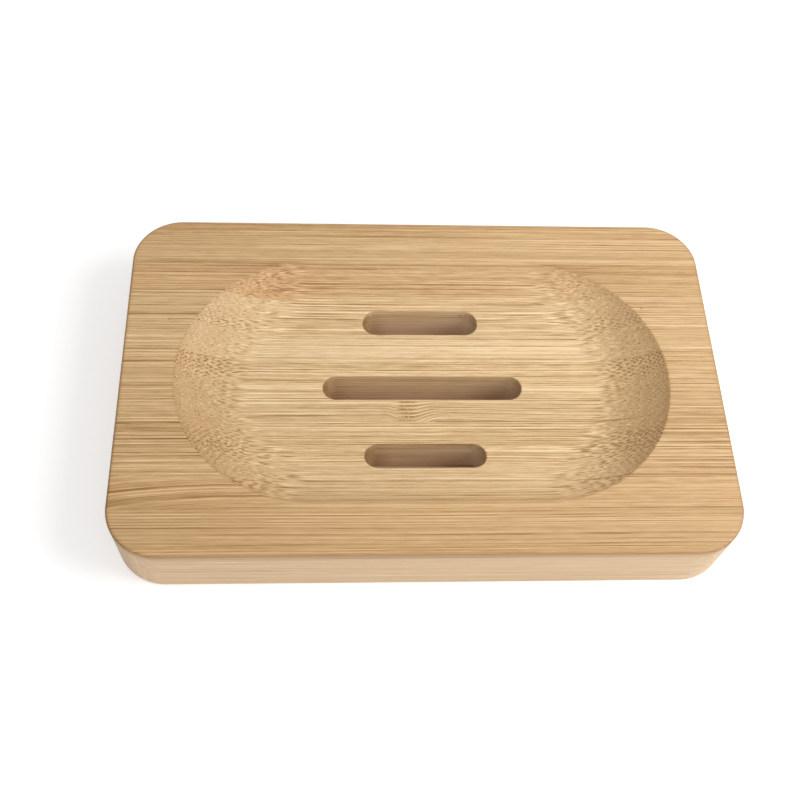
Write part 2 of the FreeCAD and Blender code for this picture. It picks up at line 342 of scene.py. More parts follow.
def plan_grid(front, back):
    """x and y of every grid point of a stave: the right half block by block, then its mirror image."""
    notch = notch_of(front, back)
    shares = across(front, back, notch)
    y = front + shares * (back - front)
    blocks_x, blocks_y, start = [], [], np.zeros_like(y)
    if notch:
        grid_x, grid_y = notch_block(front, back, shares, notch)
        blocks_x, blocks_y, start = [grid_x], [grid_y], grid_x[-1]
    lines = [start, rim_line(y, RIM_INNER), rim_line(y, RIM_CENTRE), end_line(y, TOP_ROUND), end_line(y)]
    reach = [float(np.max(b - a)) for a, b in zip(lines, lines[1:])]
    # The floor is divided more finely beside a slot
    near, fine = NEAR_REACH / reach[0], FLOOR_STEP / reach[0]
    floor_parts = spread([0, near / 4, near, 1], fine)
    if notch:
        floor_parts = np.unique(np.concatenate([np.linspace(0, near, NEAR_LINES), spread([near, 1], fine)]))
    margin_parts = spread([0, 1], MARGIN_STEP / max(reach[2], 1))
    parts = [floor_parts, np.linspace(0, 1, RIM_LINES), margin_parts, 1 - eased(TOP_ROUND)[::-1] / TOP_ROUND]
    for first, last, part in zip(lines, lines[1:], parts):
        block = ruled(first, last, part)
        blocks_x.append(block if not blocks_x else block[1:])
        blocks_y.append(np.broadcast_to(y, blocks_x[-1].shape))
    x, y = np.concatenate(blocks_x), np.concatenate(blocks_y)
    return np.concatenate([-x[:0:-1], x]), np.concatenate([y[:0:-1], y])


for number in (1, 9):
    print(staves[number - 1], "plan grid", plan_grid(JOINTS[number - 1], JOINTS[number])[0].shape)

# %% [markdown]
# ## From grids to a closed stave
# The upper face and the underside share the plan grid. Four more grids close the sides: each takes an edge
# of the plan and runs from the top height down to the base height. A Solidify modifier would be shorter, but
# it knows nothing of the eased lower edges. The six grids are joined by merging the points they share, which
# also closes the places where a grid line shrinks to a point.

# %% Six grids of a stave
# Lines along each wall, from its top to its foot
SIDE_ROWS = 9


def stave_grids(front, back):
    """The six grids of a stave: top, underside, front, back, left end and right end."""
    x, y = plan_grid(front, back)
    to_joint = np.min([np.abs(y - joint) for joint in JOINTS[1:-1]], axis=0)
    level = top_height(x, y)
    top = np.stack([x, y, level - sanded_drop(x, y, level, to_joint)], -1)
    base = np.stack([x, y, base_height(x, y)], -1)
    # A wall is ruled from an edge of the top to the same edge of the underside
    down = np.linspace(0, 1, SIDE_ROWS)[None, :, None]
    edges = np.s_[:, 0], np.s_[:, -1], np.s_[0], np.s_[-1]
    walls = [top[edge][:, None] * (1 - down) + base[edge][:, None] * down for edge in edges]
    return [top, base, *walls]


print("grids of stave_01:", [grid.shape[:2] for grid in stave_grids(JOINTS[0], JOINTS[1])])


# %% Six grids become one closed mesh
# Points this near are merged, edges this short are dropped, and edges that turn by more than this are sharp
MERGE, LEAST_EDGE, SHARP = 0.0004 * MM, 0.0002 * MM, math.radians(45)


def grid_faces(rows, columns, first):
    """Four corners of every cell of a grid whose points are numbered row by row from the first."""
    corner = first + np.arange(rows * columns).reshape(rows, columns)
    return np.stack([corner[:-1, :-1], corner[1:, :-1], corner[1:, 1:], corner[:-1, 1:]], -1).reshape(-1, 4)


def closed_mesh(name, grids):
    """One mesh from several grids of points in millimetres: joined, merged and with its faces outwards."""
    points, faces, first = [], [], 0
    for grid in grids:
        rows, columns = grid.shape[:2]
        points.append(grid.reshape(-1, 3) * MM)
        faces.append(grid_faces(rows, columns, first))
        first += rows * columns
    mesh = bpy.data.meshes.new(name)
    mesh.from_pydata(np.concatenate(points), [], np.concatenate(faces))
    work = bmesh.new()
    work.from_mesh(mesh)
    bmesh.ops.remove_doubles(work, verts=work.verts, dist=MERGE)
    bmesh.ops.dissolve_degenerate(work, edges=work.edges, dist=LEAST_EDGE)
    bmesh.ops.recalc_face_normals(work, faces=work.faces)
    work.to_mesh(mesh)
    open_edges = sum(not edge.is_manifold for edge in work.edges)
    work.free()
    mesh.shade_smooth()
    mesh.set_sharp_from_angle(angle=SHARP)
    return mesh, open_edges


print("corners of a grid's first cell:", grid_faces(2, 5, 0)[0])


# %% Make the staves
def placed(name, data):
    """A new thing in the scene, made of a mesh, a lamp or a camera."""
    made = bpy.data.objects.new(name, data)
    bpy.context.collection.objects.link(made)
    return made


pieces = []
for number, name in enumerate(staves):
    mesh, open_edges = closed_mesh(f"bamboo_{name}", stave_grids(JOINTS[number], JOINTS[number + 1]))
    pieces.append(placed(f"bamboo_{name}", mesh))
    print(f"{pieces[-1].name}: {len(mesh.polygons)} faces, {open_edges} open edges")

# %% [markdown]
# ## Which slot, and what rides where
# Each new stave stands for its measured solid, takes the finish of the same slot of the record, and rides on
# the dish's one body: glued staves can't move against each other.

# %% Hand the staves to the frame
slot_of = {row["node"]: row["material_slot"] for row in frame["record"]["subparts"]}
for piece, name in zip(pieces, staves):
    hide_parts(name)
    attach(piece, "root")
print("slots:", sorted(set(slot_of.values())))

# %% [markdown]
# ## Where the fibres run
# Everything the eye reads as bamboo follows the fibres, so each stave carries its own fibre coordinates as
# an attribute: x along the fibre, and y and z across it, bent where the grain wanders, sweeps or goes round
# a stem node. The finish then needs only straight patterns. Bending the pattern inside the finish would work
# too, but a stave's own story is easier to write with numpy than with nodes.

# %% How the grain swerves
NODE_STAVE, SWEPT_STAVE = "stave_06", "stave_03"
# Grain at the stem node sinks, then climbs: where each starts along x, its length, and how far it goes
NODE_SINK, NODE_CLIMB = (-7.7, 2.4, 0.9), (-2.3, 5.4, 1.7)
# The y from which both are felt, the way on to their full strength, and the x and the length of fading
NODE_BACK, NODE_DEEP, NODE_END, NODE_FADE = -2.4, 5.0, 3.0, 16.0
# Grain that sweeps across at a left end: its start along x, how fast it bends, and how much at the back joint
SWEEP_START, SWEEP_BEND, SWEEP_LEAST = -36.0, 0.0036, 0.4


def swerve(name, x, y):
    """How far the grain moves across a stave: S curves at the stem node, a parabola in the sweep."""
    if name == NODE_STAVE:
        sink, climb = (far * s_curve((x - start) / length) for start, length, far in (NODE_SINK, NODE_CLIMB))
        felt = np.clip((NODE_BACK - y) / NODE_DEEP, 0, 1)
        return felt * (sink - climb) * np.exp(-(np.maximum(x - NODE_END, 0) / NODE_FADE) ** 2)
    if name == SWEPT_STAVE:
        front, back = JOINTS[2:4]
        felt = SWEEP_LEAST + (1 - SWEEP_LEAST) * np.clip((back - y) / (back - front), 0, 1)
        return SWEEP_BEND * felt * np.maximum(SWEEP_START - x, 0) ** 2
    return np.zeros_like(x)


moved = swerve(NODE_STAVE, np.array([-5.0, 3.0]), np.array([-6.0, -6.0]))
print("grain moves", moved.round(2), "mm before and after the stem node")

# %% Fibre coordinates
# Slow wander and quick waver of the grain: how far it goes, and over what length along and across the fibre
WANDER, WAVER = (0.22, 50, 9), (0.02, 12, 2)
# From stave to stave the patterns are taken from another place, along the fibre, in height and in the wander
ALONG_SHIFT, HEIGHT_SHIFT, WANDER_SHIFT = 211, 37, 7
# Bundles are flatter than they are wide
FLATNESS = 1.5


def fibre_coordinates(number, name, x, y, z):
    """x along the fibre and y, z across it, moved as the grain wanders; and the place in the section."""
    far, long, wide = WANDER
    wander_y, wander_z = (far * smooth_noise(x / long, y / wide, z / wide + WANDER_SHIFT * number, seed)
                          for seed in (11, 13))
    far, long, wide = WAVER
    wander_y = wander_y + far * smooth_noise(x / long, y / wide, z / wide, 12)
    fibre = np.stack([x + ALONG_SHIFT * number, y + wander_y + swerve(name, x, y),
                      z + wander_z + HEIGHT_SHIFT * number], -1)
    # The cross-section is turned by 45 degrees, so that the rows of bundles are staggered
    flat = FLATNESS * fibre[:, 2]
    section = np.stack([fibre[:, 1] + flat, fibre[:, 1] - flat, x], -1) * math.sqrt(0.5)
    return {"fibre": fibre, "section": section}


sample = fibre_coordinates(0, staves[0], np.arange(-60.0, 60.0), np.zeros(120), np.zeros(120))
print("grain wanders", np.ptp(sample["fibre"][:, 1]).round(2), "mm along a stave")

# %% [markdown]
# ## How each stave grew
# A bamboo stem has many small bundles near its skin and few near its inside, so a stave is dense on one side
# and open on the other, and no two staves have the same tone. These are read stave by stave and not left to
# chance, because the eye knows a board by its light and dark strips.

# %% Density, tone and contrast of each stave
# Lines show at a least strength and gain with density
LINES_LEAST, LINES_GAIN = 0.85, 0.4
# Density on the flat margin, where bundles hardly show, and how near to the margin's edges that begins
MARGIN_DENSE, MARGIN_NEAR = -0.2, 1.0
# Half the length that counts as a stave's middle, and how much darker a millimetre of sweep makes it
MIDDLE, SWEEP_DARK = 32.0, 0.08
# Slow drift of the tone: how much, its length, width and height, and its shift from stave to stave
DRIFT, DRIFT_LONG, DRIFT_WIDE, DRIFT_HIGH, DRIFT_SHIFT = 0.03, 60, 2.5, 4, 5
# Each stave: density of the bundles at its front and its back joint, its tone (below 0 darker), what the
# middle of its length and its right end add to that tone, and how strongly its lines show
CHARACTER = {
    "stave_01": (0.5, 0.7, -0.12, 0.0, 0.0, 0.6), "stave_02": (0.7, 0.5, -0.11, 0.04, 0.05, 0.55),
    "stave_03": (0.3, 1.0, -0.06, 0.13, 0.08, 0.8), "stave_04": (0.2, 0.75, -0.05, -0.05, 0.03, 1.0),
    "stave_05": (1.0, 0.1, -0.1, -0.08, 0.0, 1.0), "stave_06": (0.1, 0.3, -0.12, -0.1, 0.0, 1.0),
    "stave_07": (0.3, 1.0, -0.05, 0.05, 0.0, 1.0), "stave_08": (0.4, 0.1, -0.02, 0.0, 0.0, 1.0),
    "stave_09": (0.8, -0.2, -0.02, -0.12, 0.0, 1.0), "stave_10": (0.4, 0.3, -0.01, -0.15, 0.0, 1.0),
    "stave_11": (0.3, 0.5, -0.03, 0.02, 0.03, 0.9), "stave_12": (0.7, 0.8, -0.13, 0.02, 0.13, 0.8),
}


def growth(number, name, x, y, z):
    """Density blended from joint to joint, tone that drifts, and lines that gain with density squared."""
    share = (y - JOINTS[number]) / (JOINTS[number + 1] - JOINTS[number])
    in_front, at_back, tone, middle, tilt, contrast = CHARACTER[name]
    dense = in_front * (1 - share) + at_back * share
    contrast = contrast * (LINES_LEAST + LINES_GAIN * dense ** 2)
    # Bundles are cut across in the hollow and on the board's ends, and not on its flat margin
    cut_across = (inside_hollow(x, y) > -MARGIN_NEAR) | (z < THICKNESS - MARGIN_NEAR)
    dense = np.where(cut_across, dense, MARGIN_DENSE)
    tone = tone + middle * np.exp(-(x / MIDDLE) ** 4) + tilt * x / HALF_LENGTH
    height = z / DRIFT_HIGH + DRIFT_SHIFT * number
    tone = tone + DRIFT * smooth_noise(x / DRIFT_LONG, y / DRIFT_WIDE, height, 21)
    if name == SWEPT_STAVE:
        tone = tone - SWEEP_DARK * swerve(name, x, y)
    return {"dense": dense, "tone": tone, "contrast": contrast}


print("densest at a joint:", max(CHARACTER, key=lambda name: max(CHARACTER[name][:2])))

# %% [markdown]
# ## Marks of single staves
# Some marks belong to one place: a glue joint that shows dark for a stretch, a long vessel line, a pinkish
# patch, and the stem node with its stacked dashes and the grain that fans out from it. Each is a soft number
# on the stave's points, so that the finish can stay the same for all staves.

# %% Glue lines
# How dark glue is in plain stretches, and a distance that means no joint is near
GLUE_PLAIN, NO_JOINT = 0.1, 9.0
# Stretches along x where a glue joint, numbered from the front, shows as a dark line, and how dark
DARK_GLUE = {3: (30, 70, 0.5), 4: (47, 70, 0.4), 5: (1, 44, 0.5), 8: (-52, -44, 0.4), 10: (-28, 28, 0.3)}


def between(x, first, last, soft=3.0):
    """1 between two places, falling to 0 over a soft length at each end."""
    return np.clip((x - first) / soft, 0, 1) * np.clip((last - x) / soft, 0, 1)


def glue_lines(number, x, y):
    """Distance to the nearer glue joint of a stave, and how dark the glue shows there."""
    glued, glue_dark = np.full(x.shape, NO_JOINT), np.full(x.shape, GLUE_PLAIN)
    for joint in (number, number + 1):
        if 0 < joint < len(staves):
            away = np.abs(y - JOINTS[joint])
            first, last, strength = DARK_GLUE.get(joint, (0, 0, 0))
            glue_dark = np.where(away < glued, GLUE_PLAIN + strength * between(x, first, last), glue_dark)
            glued = np.minimum(glued, away)
    return {"glued": glued, "glue_dark": glue_dark}


print(len(DARK_GLUE), "dark glue lines")

# %% Vessel lines, blush and stem node
# One long dark vessel line in some staves: its y, its ends along x, and its strength
STREAKS = {"stave_05": (-9.6, 2, 38, 0.3), "stave_07": (5.6, -38, 40, 0.4),
           "stave_08": (12.56, -9.4, -7.2, 0.7), "stave_10": (26.4, -26, -4, 0.4)}
# Its ends fade over a quarter of its length, but over no more than this; and a y where no stave has a line
STREAK_FADE, NO_STREAK = 8.0, 99.0
# The patch of blush: its stave, its middle and its reach along x and in height, and its strength
BLUSH_STAVE, BLUSH_X, BLUSH_LONG, BLUSH_Z, BLUSH_HIGH, BLUSH = "stave_10", -33, 9, 12.2, 2.4, 0.8
# The stem node: middle and reach along x of its stacked dashes and of the fan, and of both across the stave
KNUCKLE, FAN, KNUCKLE_Y, KNUCKLE_WIDE = (-3.4, 1.5), (-0.1, 2.8), -5.5, 2.5


def marks(name, x, y, z, fibre):
    """Soft bumps: a line at a fixed y of the fibre, a patch on one wall, and two patches at the stem node."""
    row, first, last, strength = STREAKS.get(name, (NO_STREAK, 0, 0, 0.0))
    soft = min(STREAK_FADE, (last - first) / 4 + 0.01)
    blush = BLUSH * np.exp(-((x - BLUSH_X) / BLUSH_LONG) ** 2 - ((z - BLUSH_Z) / BLUSH_HIGH) ** 2)
    across_node = ((y - KNUCKLE_Y) / KNUCKLE_WIDE) ** 4
    knuckle, fan = (np.exp(-((x - middle) / reach) ** 4 - across_node) * (name == NODE_STAVE)
                    for middle, reach in (KNUCKLE, FAN))
    return {"streak": fibre[:, 1] - row, "streak_dark": strength * between(x, first, last, soft),
            "blush": blush * (name == BLUSH_STAVE), "knuckle": knuckle, "fan": fan}


print(len(STREAKS), "vessel lines and one stem node")

# %% [markdown]
# ## Marks of the milling
# The flat margin is painted a little darker than the hollow, a painted shade that stands in for the brighter
# light in the hollow, and worn edges are darker. The slots' walls get painted light, more of it lower down,
# and painted shade at their round ends and their lip. All of these follow the shape, so they are worked out
# from the same distances as the shape itself. Painting them by hand would do for one dish, but these follow
# when a size changes.

# %% Milled, worn and torn
# How much the margin's painted shade is lifted just inside the rim and how soon it is so, and the width of
# the worn edge
RIM_UNSHADED, UNSHADED_REACH, EDGE_WORN = 0.5, 1.5, 0.36
# Depth at which a chip shows wholly, and how far below the floor its splinters hang
CHIP_SHOWN, CHIP_HANG = 0.1, 0.8


def milling(x, y, z):
    """How deep a point was milled, how near it is to the worn outer edge, and whether it lies in a chip."""
    rim_unshaded = RIM_UNSHADED * np.clip(inside_hollow(x, y) / UNSHADED_REACH, 0, 1)
    milled = np.maximum(np.clip((THICKNESS - z) / DEPTH, 0, 1), rim_unshaded)
    edge = np.exp(-(np.maximum(inside_outline(x, y), 0) / EDGE_WORN) ** 2) * (z > THICKNESS - 3 * TOP_ROUND)
    torn = np.clip(torn_out(x, y) / CHIP_SHOWN, 0, 1) * (z > THICKNESS - DEPTH - CHIP_HANG)
    return {"milled": milled, "edge": edge, "torn": torn}


print("an edge is worn for", EDGE_WORN, "mm")

# %% Painted light and shade in the slots
# A slot's wall begins this far outside its edge, softly over this width, and this far below the floor
WALL_OUT, WALL_SOFT, WALL_LIP = 0.6, 0.4, 0.6
# Depth below the floor where the painted light is strongest, how much more the short slots take, and what the
# right end of a slot adds and its left end takes away
FILL_DEEP, SHORT_FILL, FILL_RIGHT, FILL_LEFT = 9.0, 1.4, 0.9, 0.8
# Length of the ends with painted shade, and how dark the painted shade makes the left end, the right end and
# the lip
RIGHT_END, LEFT_END, SHADE_LEFT, SHADE_RIGHT, SHADE_LIP = 4.0, 3.0, 0.7, 0.15, 0.15


def slot_marks(x, y, z):
    """Painted light that grows with depth and to the right, painted shade mostly at the left end, and what is
    outside.
    """
    below = THICKNESS - DEPTH - z
    in_slot = np.clip((WALL_OUT - from_slots(x, y)) / WALL_SOFT, 0, 1) * np.clip(below / WALL_LIP, 0, 1)
    low = np.clip(below / FILL_DEEP, 0, 1)
    right, left = (sum(np.clip((side * x - half + start) / (start + SLOT_RADIUS), 0, 1)
                       * (np.abs(y - row) < SLOT_RADIUS + WALL_OUT) for row, half in SLOTS)
                   for side, start in ((1, RIGHT_END), (-1, LEFT_END)))
    in_short = np.where(np.abs(y) > ROW / 2, SHORT_FILL, 1.0)
    painted_fill_share = in_slot * low * in_short * (1 + FILL_RIGHT * right - FILL_LEFT * left)
    # Painted shade at the slots' round ends, most at the left, and along their lip
    shade = SHADE_LEFT * left * np.maximum(left, low) + SHADE_RIGHT * right + SHADE_LIP * (1 - low)
    return {"painted_fill_share": painted_fill_share, "painted_slot_shade": in_slot * shade, "outer": 1 - in_slot}


# A sample of the painted light low down in the long slot
middle = slot_marks(*(np.array([v]) for v in (0.0, SLOT_RADIUS, 1.0)))
print("dust low down in the long slot:", middle["painted_fill_share"].round(2))

# %% Every stave carries its marks
for number, (piece, name) in enumerate(zip(pieces, staves)):
    mesh = piece.data
    at = np.empty(len(mesh.vertices) * 3, np.float32)
    mesh.vertices.foreach_get("co", at)
    x, y, z = (at.reshape(-1, 3) / MM).T.astype(float)
    carried = fibre_coordinates(number, name, x, y, z)
    carried |= growth(number, name, x, y, z) | glue_lines(number, x, y)
    carried |= milling(x, y, z) | slot_marks(x, y, z) | marks(name, x, y, z, carried["fibre"])
    for label, values in carried.items():
        kind, field = ("FLOAT_VECTOR", "vector") if values.ndim == 2 else ("FLOAT", "value")
        mesh.attributes.new(label, kind, "POINT").data.foreach_set(field, values.astype(np.float32).ravel())
print("each stave carries", sorted(carried))

# %% [markdown]
# ## Bamboo, milled and sanded
# Cut along, bamboo shows long fine lines; cut across, as on the sloping ends of the hollow, the same bundles
# show as dots. Solid patterns in the fibre coordinates give both, and they meet at the edges. An image could
# only show one of the two and would stretch on the slopes. A few helpers come first: for colours, for adding
# a node and filling its inputs, and for starting a finish.


# %% Helpers for finishes
def linear(code):
    """The linear colour of an sRGB hex value."""
    part = np.array([int(code[i:i + 2], 16) for i in (1, 3, 5)]) / 255
    return (*np.where(part <= 0.04045, part / 12.92, ((part + 0.055) / 1.055) ** 2.4), 1.0)


def fill(tree, node, inputs):
    """Fills a node's inputs, given in order or by name: sockets are linked, values are set."""
    for socket, value in inputs.items() if isinstance(inputs, dict) else enumerate(inputs):
        if isinstance(value, bpy.types.NodeSocket):
            tree.links.new(value, node.inputs[socket])
        else:
            node.inputs[socket].default_value = value


def add(tree, kind, inputs=(), out=0, **settings):
    """Adds one node with its settings and its inputs, and gives one of its outputs."""
    made = tree.nodes.new("ShaderNode" + kind)
    for name, value in settings.items():
        setattr(made, name, value)
    fill(tree, made, inputs)
    return made.outputs[out]


def new_finish(name):
    """An empty material with its tree and its principled shader."""
    finish = bpy.data.materials.new(name)
    finish.use_nodes = True
    return finish, finish.node_tree, finish.node_tree.nodes["Principled BSDF"]


print("straw in linear light:", np.round(linear("#D1B183"), 3))

# %% [markdown]
# ## Lines along the fibre
# Every line is noise drawn out along the fibre. Long straight ones come in two widths and fade in and out
# along the stave; shorter ones and pores break them up, and wide soft ones shade them. A wave pattern would
# be simpler, but too even. A line's value times its own size keeps the strong lines and thins the weak ones,
# as dark bundles stand apart on pale ground.

# %% Lines
# Each kind of line: width and length in millimetres, detail and strength. The finest fibres are thinner than
# this, but are drawn just wide enough to show
FINE, LINE = (0.2, 160, 0.0, 1.0), (0.36, 160, 0.0, 1.0)
BROKEN, PORES = (0.22, 4, 0.0, 0.11), (0.18, 1.2, 0.0, 0.04)
STRIPE, BAND = (0.8, 120, 1.0, 0.035), (2.6, 150, 1.0, 0.035)
FADE = (0.7, 11, 0.0, 1.0)
# Weights of the straight kinds, a little that keeps weak lines in sight, and least and most of their fading
FINE_WEIGHT, LINE_WEIGHT, IN_SIGHT, FADED, UNFADED = 0.38, 0.15, 0.08, 0.35, 1.25
# What is left of the lines where they are cut across, and on upright faces
CUT_LINES, UPRIGHT_LINES = 0.5, 0.8


def grain(tree, width, length, detail, strength):
    """Noise drawn out along the fibre, from minus to plus its strength for most of its run."""
    fibre = add(tree, "Attribute", out="Vector", attribute_name="fibre")
    at = add(tree, "VectorMath", [fibre, (1 / length, 1 / width, 1 / width)], operation="MULTIPLY")
    noise = add(tree, "TexNoise", {"Vector": at, "Scale": 1.0, "Detail": detail, "Roughness": 0.5})
    return add(tree, "MapRange", [noise, 0.3, 0.7, -strength, strength], clamp=False)


def fibre_lines(tree, cut, upward):
    """All the lines added up, calmer where they are cut across and on upright faces."""
    fade = add(tree, "MapRange", [grain(tree, *FADE), -0.8, 0.8, FADED, UNFADED])
    lines = add(tree, "Math", [grain(tree, *BROKEN), grain(tree, *PORES)], operation="ADD")
    for part, weight in ((FINE, FINE_WEIGHT), (LINE, LINE_WEIGHT)):
        value = grain(tree, *part)
        sharp = add(tree, "Math", [value], operation="ABSOLUTE")
        sharp = add(tree, "Math", [sharp, IN_SIGHT], operation="ADD")
        for factor in (value, weight, fade):
            sharp = add(tree, "Math", [sharp, factor], operation="MULTIPLY")
        lines = add(tree, "Math", [lines, sharp], operation="ADD")
    for part in (STRIPE, BAND):
        lines = add(tree, "Math", [lines, grain(tree, *part)], operation="ADD")
    contrast = add(tree, "Attribute", out="Fac", attribute_name="contrast")
    across_fibre = add(tree, "MapRange", [cut, 0.04, 0.3, 1.0, CUT_LINES])
    upright = add(tree, "MapRange", [upward, 0.0, 0.6, UPRIGHT_LINES, 1.0])
    for factor in (contrast, across_fibre, upright):
        lines = add(tree, "Math", [lines, factor], operation="MULTIPLY")
    return lines


print("lines from", PORES[0], "to", BAND[0], "mm wide")

# %% [markdown]
# ## Dots where the fibres are cut across
# A bundle is a dark spot in the cross-section. Cells of two-dimensional Voronoi noise, placed in the
# cross-section, give one spot to each bundle, and because the third direction isn't used a spot runs right
# through the stave. Spots in thin ground are left out by chance, the more so where the stave is open.

# %% Dots
# From one bundle to the next in millimetres; and as shares of that, how far it strays, its core and its edge
BUNDLE, STRAY, DOT_CORE, DOT_EDGE = 0.66, 0.45, 0.18, 0.4
# The pale ring round a dot; and the strength of dots along the fibre, across it and on upright faces
DOT_RING, DOTS_ALONG, DOTS_ACROSS, DOTS_UPRIGHT = -0.15, 0.05, 0.54, 0.75


def bundle_dots(tree, cut, upward):
    """A spot in the middle of each cell, strong where density beats the cell's chance and fibres are cut."""
    section = add(tree, "Attribute", out="Vector", attribute_name="section")
    at = add(tree, "VectorMath", {0: section, "Scale": 1 / BUNDLE}, operation="SCALE")
    cells = {"Vector": at, "Scale": 1.0, "Randomness": STRAY}
    cells = add(tree, "TexVoronoi", cells, voronoi_dimensions="2D").node.outputs
    dot = add(tree, "MapRange", [cells["Distance"], DOT_CORE, DOT_EDGE, 1.0, DOT_RING])
    chance = add(tree, "SeparateColor", [cells["Color"]])
    dense = add(tree, "Attribute", out="Fac", attribute_name="dense")
    there = add(tree, "Math", [chance, -0.35, dense], operation="MULTIPLY_ADD")
    there = add(tree, "MapRange", [there, 0.15, 0.7, 0.2, 1.0])
    across_fibre = add(tree, "MapRange", [cut, 0.02, 0.25, DOTS_ALONG, DOTS_ACROSS])
    upright = add(tree, "MapRange", [upward, 0.3, 0.7, DOTS_UPRIGHT, 1.0])
    for factor in (there, across_fibre, upright):
        dot = add(tree, "Math", [dot, factor], operation="MULTIPLY")
    return dot


print(f"a bundle every {BUNDLE} mm, {(JOINTS[2] - JOINTS[1]) / BUNDLE:.0f} across a stave")

# %% [markdown]
# ## The stem node
# Where a leaf grew, the bundles cross over, and a cut shows short dark dashes in a stack with grain that
# fans out from them. Rows are a sine across the fibre, and short noise breaks them into dashes. Dashes that
# were modelled one by one would not bend with the grain.

# %% Ripple of the stem node
# From one row of dashes to the next in millimetres, and what breaks the rows, as a kind of line
DASH_PITCH, BREAKS = 0.7, (0.45, 0.5, 1.0, 1.0)
# How dark the node is between its dashes, and the rows of the fan
NODE_DARK, FAN_ROWS = 0.06, 0.3


def node_ripple(tree):
    """Rows broken into dashes at the node, and fainter whole rows in the fan beside it."""
    fibre, knuckle, fan = (add(tree, "Attribute", out=out, attribute_name=label)
                           for out, label in (("Vector", "fibre"), ("Fac", "knuckle"), ("Fac", "fan")))
    rows = add(tree, "SeparateXYZ", [fibre], out=1)
    rows = add(tree, "Math", [rows, 2 * math.pi / DASH_PITCH], operation="MULTIPLY")
    rows = add(tree, "Math", [rows], operation="SINE")
    breaks = add(tree, "MapRange", [grain(tree, *BREAKS), -0.35, 0.2, 0.05, 1.3])
    dashes = add(tree, "MapRange", [rows, -0.3, 0.8, -0.1, 1.0])
    dashes = add(tree, "Math", [dashes, breaks, NODE_DARK], operation="MULTIPLY_ADD")
    dashes = add(tree, "Math", [dashes, knuckle], operation="MULTIPLY")
    fanned = add(tree, "Math", [rows, FAN_ROWS], operation="MULTIPLY")
    return add(tree, "Math", [fanned, fan, dashes], operation="MULTIPLY_ADD")


print("dashes every", DASH_PITCH, "mm")

# %% [markdown]
# ## Colour of bamboo
# The patterns add up to one number that runs from pale ground over a middling body to dark fibre. The colour
# follows that number, and tints for the marks come on top. Steps of about the same size in red, green and
# blue keep the lines a neutral brown; a plain multiply would turn them orange.

# %% Lines, dots and marks added up
# Half width of a vessel line's core and of its edge
STREAK_CORE, STREAK_EDGE = 0.06, 0.22
# Share of a fleck's radius that is wholly dark
FLECK_CORE = 0.4
# Dark flecks in the top face and on the slots' walls, and a pale splinter: place, radius, how much darker
FLECKS = [((46.3, 16.4, 15.0), 0.28, 0.9), ((-51.3, 13.1, 15.0), 0.28, 0.9), ((8.8, 18.2, 9.0), 0.7, 0.35),
          ((10.0, 18.0, 9.2), 0.6, 0.3), ((9.1, -12.8, 9.0), 0.8, 0.3), ((-5.7, -12.8, 3.2), 0.45, -0.7)]


def darkness(tree, share, cut, upward):
    """The stave's share of dark, less its tone, plus the lines, the dots, the node and the single marks."""
    tone, streak, streak_dark = (add(tree, "Attribute", out="Fac", attribute_name=label)
                                 for label in ("tone", "streak", "streak_dark"))
    streak = add(tree, "Math", [streak], operation="ABSOLUTE")
    streak = add(tree, "MapRange", [streak, STREAK_CORE, STREAK_EDGE, 1.0, 0.0])
    streak = add(tree, "Math", [streak, streak_dark], operation="MULTIPLY")
    mixed = add(tree, "Math", [share, tone], operation="SUBTRACT")
    place = add(tree, "TexCoord", out="Object")
    parts = [fibre_lines(tree, cut, upward), bundle_dots(tree, cut, upward), node_ripple(tree), streak]
    for spot, radius, darker in FLECKS:
        away = add(tree, "VectorMath", [place, [v * MM for v in spot]], out="Value", operation="DISTANCE")
        parts.append(add(tree, "MapRange", [away, FLECK_CORE * radius * MM, radius * MM, darker, 0.0]))
    for part in parts:
        mixed = add(tree, "Math", [mixed, part], operation="ADD")
    return mixed


print(len(FLECKS), "flecks")

# %% Tints for the marks
# Each tint's colour and how it is blended, in the order in which they are laid on
# The margin tint is painted shade, the upright tint a painted sheen, and the painted fill and slot shade
# painted light and shade in the slots; the slope tint is end grain, eased as painted light on some slopes
TINTS = {
    "blush": ("#F0DDD0", "MULTIPLY"), "painted_margin_shade": ("#ECE4DA", "MULTIPLY"), "slope": ("#E7E1D8", "MULTIPLY"),
    "end_grain": ("#D8CFC6", "MULTIPLY"), "edge": ("#DDD0BD", "MULTIPLY"), "upright": ("#F4E8DE", "MIX"),
    "painted_fill": ("#F5E0CA", "MIX"), "painted_slot_shade": ("#CFC4B0", "MULTIPLY"), "splinter": ("#FBEFD8", "MIX"),
    "glue": ("#7A5632", "MIX"),
}
# Most of the painted sheen on upright faces, of the painted fill in the slots and of the splinters, and the
# share of the slope tint left where a slope faces right, a painted light
UPRIGHT_SHEEN, PAINTED_FILL, SPLINTER, LIT_SLOPE_SHARE = 0.11, 0.52, 0.7, 0.72
# Half width of a glue line's core and of its edge
GLUE_CORE, GLUE_EDGE = 0.06, 0.24


